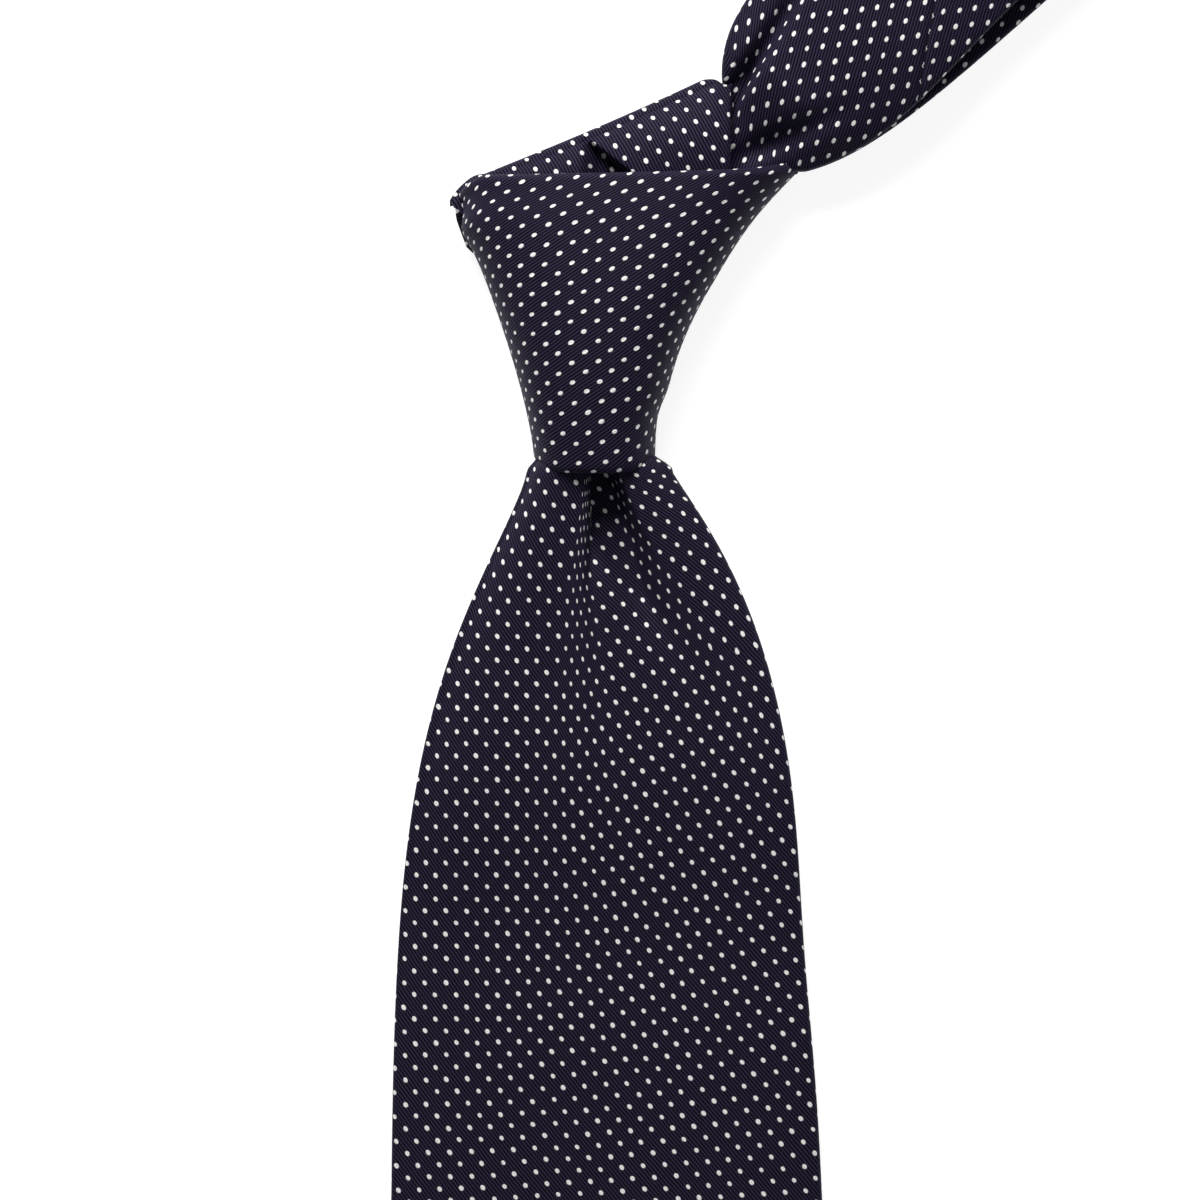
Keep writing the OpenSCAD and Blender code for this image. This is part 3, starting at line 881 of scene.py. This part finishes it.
# ---- thread work ----
def stitch_tree():
    """Short rounded stitches laid end to end along a line."""
    tree = bpy.data.node_groups.new("thread_stitches", "GeometryNodeTree")
    face = tree.interface
    face.new_socket("Geometry", in_out="INPUT", socket_type="NodeSocketGeometry")
    for label, kind in (("Pitch", "NodeSocketFloat"), ("Stitch Length", "NodeSocketFloat"),
                        ("Thread Width", "NodeSocketFloat"), ("Seed", "NodeSocketInt"),
                        ("Finish", "NodeSocketMaterial")):
        face.new_socket(label, in_out="INPUT", socket_type=kind)
    face.new_socket("Geometry", in_out="OUTPUT", socket_type="NodeSocketGeometry")
    nodes, links = tree.nodes, tree.links
    given, result = nodes.new("NodeGroupInput"), nodes.new("NodeGroupOutput")
    line = nodes.new("GeometryNodeMeshToCurve")
    spots = nodes.new("GeometryNodeCurveToPoints")
    spots.mode = "LENGTH"
    grain = nodes.new("GeometryNodeMeshUVSphere")
    grain.inputs["Segments"].default_value = 7
    grain.inputs["Rings"].default_value = 6
    grain.inputs["Radius"].default_value = 0.5
    size = nodes.new("ShaderNodeCombineXYZ")
    vary = nodes.new("FunctionNodeRandomValue")
    vary.data_type = "FLOAT"
    vary.inputs["Min"].default_value = 0.85
    vary.inputs["Max"].default_value = 1.1
    long = nodes.new("ShaderNodeMath")
    long.operation = "MULTIPLY"
    lay = nodes.new("GeometryNodeInstanceOnPoints")
    real = nodes.new("GeometryNodeRealizeInstances")
    finish = nodes.new("GeometryNodeSetMaterial")
    for source, target in (
        (given.outputs["Geometry"], line.inputs["Mesh"]),
        (line.outputs["Curve"], spots.inputs["Curve"]),
        (given.outputs["Pitch"], spots.inputs["Length"]),
        (given.outputs["Seed"], vary.inputs["Seed"]),
        (vary.outputs["Value"], long.inputs[0]),
        (given.outputs["Stitch Length"], long.inputs[1]),
        (given.outputs["Thread Width"], size.inputs["X"]),
        (given.outputs["Thread Width"], size.inputs["Y"]),
        (long.outputs[0], size.inputs["Z"]),
        (spots.outputs["Points"], lay.inputs["Points"]),
        (spots.outputs["Rotation"], lay.inputs["Rotation"]),
        (grain.outputs["Mesh"], lay.inputs["Instance"]),
        (size.outputs["Vector"], lay.inputs["Scale"]),
        (lay.outputs["Instances"], real.inputs["Geometry"]),
        (real.outputs["Geometry"], finish.inputs["Geometry"]),
        (given.outputs["Finish"], finish.inputs["Material"]),
        (finish.outputs["Geometry"], result.inputs["Geometry"]),
    ):
        links.new(source, target)
    return tree


STITCHES = stitch_tree()


def sew(name, node, body, line, thread, pitch, length, width, seed=3):
    """Stitches of one pitch and length along a line of points."""
    mesh = bpy.data.meshes.new(name)
    mesh.from_pydata((line * MM).tolist(), [(k, k + 1) for k in range(len(line) - 1)], [])
    made = bpy.data.objects.new(name, mesh)
    bpy.context.scene.collection.objects.link(made)
    work = made.modifiers.new("stitches", "NODES")
    work.node_group = STITCHES
    values = {"Pitch": pitch * MM, "Stitch Length": length * MM, "Thread Width": width * MM,
              "Seed": seed, "Finish": thread}
    for item in STITCHES.interface.items_tree:
        if item.in_out == "INPUT" and item.name in values:
            work[item.identifier] = values[item.name]
    keep_result(made)
    made.data.polygons.foreach_set("use_smooth", [True] * len(made.data.polygons))
    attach(made, body)
    if node:
        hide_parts(node)
    return made


def bar_tack(name, node, body, centre, width, tall, thread):
    """A close zigzag of thread that locks the end of a seam."""
    count = 15
    x = np.linspace(-width / 2, width / 2, count)
    y = tall / 2 * np.where(np.arange(count) % 2, 1, -1)
    line = np.stack([centre[0] + x, centre[1] + y, np.full(count, centre[2])], -1)
    return sew(name, node, body, line, thread, pitch=0.8, length=1.2, width=0.3, seed=5)


# ---- finishes ----
def calc(tree, operation, *values):
    node = tree.nodes.new("ShaderNodeMath")
    node.operation = operation
    for socket, value in zip(node.inputs, values):
        if isinstance(value, (int, float)):
            socket.default_value = value
        else:
            tree.links.new(value, socket)
    return node.outputs[0]


def vector_calc(tree, operation, first, second):
    node = tree.nodes.new("ShaderNodeVectorMath")
    node.operation = operation
    tree.links.new(first, node.inputs[0])
    if isinstance(second, tuple):
        node.inputs[1].default_value = second
    else:
        tree.links.new(second, node.inputs[1])
    return node.outputs[0]


def scaled(tree, vector, scale):
    node = tree.nodes.new("ShaderNodeVectorMath")
    node.operation = "SCALE"
    node.inputs["Scale"].default_value = scale
    tree.links.new(vector, node.inputs[0])
    return node.outputs[0]


def soft_step(tree, value, low, high, to_low=0.0, to_high=1.0):
    node = tree.nodes.new("ShaderNodeMapRange")
    node.interpolation_type = "SMOOTHSTEP"
    tree.links.new(value, node.inputs["Value"])
    for socket, number in zip(("From Min", "From Max", "To Min", "To Max"), (low, high, to_low, to_high)):
        node.inputs[socket].default_value = number
    return node.outputs["Result"]


def tint(tree, factor, first, second):
    """A colour between two; each is a colour or a socket."""
    node = tree.nodes.new("ShaderNodeMix")
    node.data_type = "RGBA"
    tree.links.new(factor, node.inputs[0])
    for socket, value in ((node.inputs[6], first), (node.inputs[7], second)):
        if isinstance(value, tuple):
            socket.default_value = (*value, 1)
        else:
            tree.links.new(value, socket)
    return node.outputs[2]


def noise(tree, vector, scale, detail=2.0):
    node = tree.nodes.new("ShaderNodeTexNoise")
    node.inputs["Scale"].default_value = scale
    node.inputs["Detail"].default_value = detail
    tree.links.new(vector, node.inputs["Vector"])
    return node


def new_finish(name, roughness, specular=0.3, sheen=0.0, sheen_tint=(1, 1, 1), sheen_rough=0.4):
    finish = bpy.data.materials.new(name)
    finish.use_nodes = True
    tree = finish.node_tree
    shader = tree.nodes["Principled BSDF"]
    shader.inputs["Roughness"].default_value = roughness
    shader.inputs["Specular IOR Level"].default_value = specular
    shader.inputs["Sheen Weight"].default_value = sheen
    shader.inputs["Sheen Tint"].default_value = (*sheen_tint, 1)
    shader.inputs["Sheen Roughness"].default_value = sheen_rough
    return finish, tree, shader


def raise_bump(tree, shader, height, distance, strength=1.0):
    node = tree.nodes.new("ShaderNodeBump")
    node.inputs["Distance"].default_value = distance * MM
    node.inputs["Strength"].default_value = strength
    tree.links.new(height, node.inputs["Height"])
    tree.links.new(node.outputs["Normal"], shader.inputs["Normal"])


DOT_ACROSS = 3.67
DOT_ALONG = 4.03
DOT_LONG = 0.46
DOT_SHORT = 0.35
RIB_ANGLE = math.radians(36.5)
RIB_PITCH = 0.535
THREAD_PITCH = 0.36
RIB_COLOUR = (0.0350, 0.0260, 0.0620)
# Near black for the grooves between the twill ribs: painted shade, not a dye.
GROOVE_SHADE_COLOUR = (0.0008, 0.0006, 0.0016)
DOT_COLOUR = (0.97, 0.96, 0.95)


def pin_dot_silk():
    """Ribbed silk twill with small pale dots woven in, worked out along the cloth's own threads."""
    finish, tree, shader = new_finish("pin_dot_silk", 0.62, 0.06, 0.03, (0.6, 0.55, 1.0), 0.4)
    links = tree.links
    cloth = tree.nodes.new("ShaderNodeUVMap")
    cloth.uv_map = "cloth"
    drift = noise(tree, cloth.outputs[0], 0.11)
    middle = vector_calc(tree, "SUBTRACT", drift.outputs["Color"], (0.5, 0.5, 0.5))
    moved = vector_calc(tree, "ADD", cloth.outputs[0], scaled(tree, middle, 0.55))
    split = tree.nodes.new("ShaderNodeSeparateXYZ")
    links.new(moved, split.inputs[0])
    u, v = split.outputs["X"], split.outputs["Y"]

    a, b = calc(tree, "DIVIDE", u, DOT_ACROSS), calc(tree, "DIVIDE", v, DOT_ALONG)
    p = calc(tree, "ROUND", calc(tree, "ADD", a, b))
    q = calc(tree, "ROUND", calc(tree, "SUBTRACT", a, b))
    cell = tree.nodes.new("ShaderNodeCombineXYZ")
    links.new(p, cell.inputs["X"])
    links.new(q, cell.inputs["Y"])
    luck = tree.nodes.new("ShaderNodeTexWhiteNoise")
    links.new(cell.outputs[0], luck.inputs["Vector"])
    parts = tree.nodes.new("ShaderNodeSeparateColor")
    links.new(luck.outputs["Color"], parts.inputs[0])
    off_u = calc(tree, "MULTIPLY_ADD", parts.outputs[0], 0.16, -0.08)
    off_v = calc(tree, "MULTIPLY_ADD", parts.outputs[1], 0.16, -0.08)
    centre_a = calc(tree, "MULTIPLY", calc(tree, "ADD", p, q), 0.5)
    centre_b = calc(tree, "MULTIPLY", calc(tree, "SUBTRACT", p, q), 0.5)
    du = calc(tree, "MULTIPLY_ADD", calc(tree, "SUBTRACT", a, centre_a), DOT_ACROSS, off_u)
    dv = calc(tree, "MULTIPLY_ADD", calc(tree, "SUBTRACT", b, centre_b), DOT_ALONG, off_v)

    cos, sin = math.cos(RIB_ANGLE), math.sin(RIB_ANGLE)

    def across_rib(x, y):
        return calc(tree, "ADD", calc(tree, "MULTIPLY", x, cos), calc(tree, "MULTIPLY", y, sin))

    def along_rib(x, y):
        return calc(tree, "SUBTRACT", calc(tree, "MULTIPLY", y, cos), calc(tree, "MULTIPLY", x, sin))

    lengthways = calc(tree, "DIVIDE", along_rib(du, dv), DOT_LONG)
    sideways = calc(tree, "DIVIDE", across_rib(du, dv), DOT_SHORT)
    squares = [calc(tree, "MULTIPLY", part, part) for part in (lengthways, sideways)]
    reach = calc(tree, "SQRT", calc(tree, "ADD", *squares))
    uneven = calc(tree, "MULTIPLY_ADD", parts.outputs[2], 0.16, -0.08)
    dot = soft_step(tree, calc(tree, "ADD", reach, uneven), 0.84, 1.14, 1.0, 0.0)

    ribs = calc(tree, "DIVIDE", across_rib(u, v), RIB_PITCH)
    ridge = calc(tree, "ABSOLUTE", calc(tree, "SINE", calc(tree, "MULTIPLY", ribs, math.pi)))
    count = calc(tree, "FLOOR", ribs)
    lay = calc(tree, "MULTIPLY", along_rib(u, v), 2 * math.pi / THREAD_PITCH)
    threads = calc(tree, "MULTIPLY_ADD", count, 2.1, lay)
    beat = calc(tree, "MULTIPLY_ADD", calc(tree, "SINE", threads), 0.5, 0.5)
    slub = noise(tree, moved, 1.9, 3.0)
    # Colour darkens into the rib grooves and between the thread floats: painted shade. The slub noise is
    # real tone that varies at random.
    body = soft_step(tree, ridge, 0.36, 1.0)
    body = calc(tree, "MULTIPLY", body, calc(tree, "MULTIPLY_ADD", beat, 0.22, 0.82))
    body = calc(tree, "MULTIPLY", body, calc(tree, "MULTIPLY_ADD", slub.outputs["Fac"], 0.5, 0.75))
    ribs_and_painted_shade = tint(tree, body, GROOVE_SHADE_COLOUR, RIB_COLOUR)
    dot_light = tint(tree, beat, (0.88, 0.87, 0.86), DOT_COLOUR)
    links.new(tint(tree, dot, ribs_and_painted_shade, dot_light), shader.inputs["Base Color"])
    height = calc(tree, "MULTIPLY_ADD", beat, 0.18, calc(tree, "MULTIPLY", ridge, 0.8))
    height = calc(tree, "MULTIPLY_ADD", dot, 0.5, height)
    raise_bump(tree, shader, height, 0.09, 0.7)
    links.new(soft_step(tree, slub.outputs["Fac"], 0.3, 0.7, 0.56, 0.7), shader.inputs["Roughness"])
    return finish


def woven_finish(name, first, second, pitch, roughness, uv, sheen=0.0, bump=0.06):
    """A plain weave of two colours, on the cloth's own coordinates or through the body of a pad."""
    finish, tree, shader = new_finish(name, roughness, 0.25, sheen)
    links = tree.links
    if uv:
        source = tree.nodes.new("ShaderNodeUVMap")
        source.uv_map = "cloth"
        place_at = scaled(tree, source.outputs["UV"], 1.0)
    else:
        source = tree.nodes.new("ShaderNodeTexCoord")
        place_at = scaled(tree, source.outputs["Object"], 1 / MM)
    split = tree.nodes.new("ShaderNodeSeparateXYZ")
    links.new(place_at, split.inputs[0])
    warp = calc(tree, "SINE", calc(tree, "MULTIPLY", split.outputs["X"], 2 * math.pi / pitch))
    weft = calc(tree, "SINE", calc(tree, "MULTIPLY", split.outputs["Y"], 2 * math.pi / pitch))
    weave = calc(tree, "MULTIPLY_ADD", calc(tree, "MULTIPLY", warp, weft), 0.5, 0.5)
    fibres = noise(tree, place_at, 0.9, 4.0)
    mixed = calc(tree, "MULTIPLY_ADD", weave, 0.6, calc(tree, "MULTIPLY", fibres.outputs["Fac"], 0.4))
    links.new(tint(tree, mixed, first, second), shader.inputs["Base Color"])
    raise_bump(tree, shader, mixed, bump, 0.8)
    return finish


def thread_finish():
    """Twisted sewing thread."""
    finish, tree, shader = new_finish("navy_thread", 0.5, 0.35, 0.2)
    place_at = tree.nodes.new("ShaderNodeTexCoord")
    twist = tree.nodes.new("ShaderNodeTexWave")
    twist.inputs["Scale"].default_value = 900.0
    twist.inputs["Distortion"].default_value = 1.5
    tree.links.new(place_at.outputs["Object"], twist.inputs["Vector"])
    strand = tint(tree, twist.outputs["Fac"], (0.035, 0.03, 0.07), (0.09, 0.08, 0.16))
    tree.links.new(strand, shader.inputs["Base Color"])
    raise_bump(tree, shader, twist.outputs["Fac"], 0.04)
    return finish


def floor_finish():
    finish, tree, shader = new_finish("pale_floor", 0.9, 0.1)
    place_at = tree.nodes.new("ShaderNodeTexCoord")
    grain = noise(tree, place_at.outputs["Object"], 6.0)
    paper = tint(tree, grain.outputs["Fac"], (0.40, 0.40, 0.405), (0.42, 0.42, 0.42))
    tree.links.new(paper, shader.inputs["Base Color"])
    shader.inputs["Emission Color"].default_value = (1, 1, 1, 1)
    shader.inputs["Emission Strength"].default_value = 0.86
    return finish


# ---- studio ----
CAMERA_LENS = 529.4
CAMERA_Y = -0.04692
CAMERA_HEIGHT = 3.0
FLOOR_REACH = 30
FLOOR_DROP = 0.0004


def build_studio():
    camera_data = bpy.data.cameras.new("camera")
    camera_data.sensor_width = 36
    camera_data.lens = CAMERA_LENS
    camera_data.clip_end = 50
    camera = bpy.data.objects.new("camera", camera_data)
    camera.location = (0, CAMERA_Y, CAMERA_HEIGHT)
    bpy.context.scene.collection.objects.link(camera)
    bpy.context.scene.camera = camera

    def panel(name, place_at, aim, size, power, colour):
        light = bpy.data.lights.new(name, "AREA")
        light.shape = "SQUARE"
        light.size = size
        light.energy = power
        light.color = colour
        lamp = bpy.data.objects.new(name, light)
        lamp.location = place_at
        away = np.array(aim) - np.array(place_at)
        lamp.rotation_mode = "QUATERNION"
        lamp.rotation_quaternion = Vector(away).to_track_quat("-Z", "Y")
        bpy.context.scene.collection.objects.link(lamp)

    panel("key", (-0.1, 0.58, 0.43), (0, -0.03, 0), 0.38, 7.6, (1.0, 0.99, 0.97))
    panel("fill", (0.5, -1.3, 1.1), (0, -0.1, 0), 1.2, 0.8, (0.95, 0.97, 1.0))
    world = bpy.data.worlds.new("studio")
    world.use_nodes = True
    world.node_tree.nodes["Background"].inputs["Color"].default_value = (0.97, 0.98, 1.0, 1)
    world.node_tree.nodes["Background"].inputs["Strength"].default_value = 0.2
    bpy.context.scene.world = world
    bpy.context.scene.view_settings.view_transform = "Standard"

    mesh = bpy.data.meshes.new("floor")
    corners = [(x * FLOOR_REACH, y * FLOOR_REACH, 0) for x, y in ((-1, -1), (1, -1), (1, 1), (-1, 1))]
    mesh.from_pydata(corners, [], [(0, 1, 2, 3)])
    floor = bpy.data.objects.new("floor", mesh)
    floor.location.z = -FLOOR_DROP
    mesh.materials.append(floor_finish())
    bpy.context.scene.collection.objects.link(floor)


build_studio()
silk = pin_dot_silk()
wool = woven_finish("natural_wool", (0.45, 0.41, 0.33), (0.72, 0.68, 0.58), 1.1, 0.95, False, 0.3, 0.15)
lining = woven_finish("navy_lining", (0.010, 0.009, 0.018), (0.026, 0.022, 0.045), 0.3, 0.38, True)
label_cloth = woven_finish("pale_label", (0.55, 0.54, 0.5), (0.78, 0.77, 0.73), 0.35, 0.6, True)
thread = thread_finish()
build_front_wrap(silk, wool)
build_back_wrap(silk)
build_core_pass(silk)
build_over_pass(silk)
build_throats(silk)
build_loop(silk, wool, thread)
build_tail(silk, wool, lining, thread)
build_blade(silk, wool, lining, thread, label_cloth)
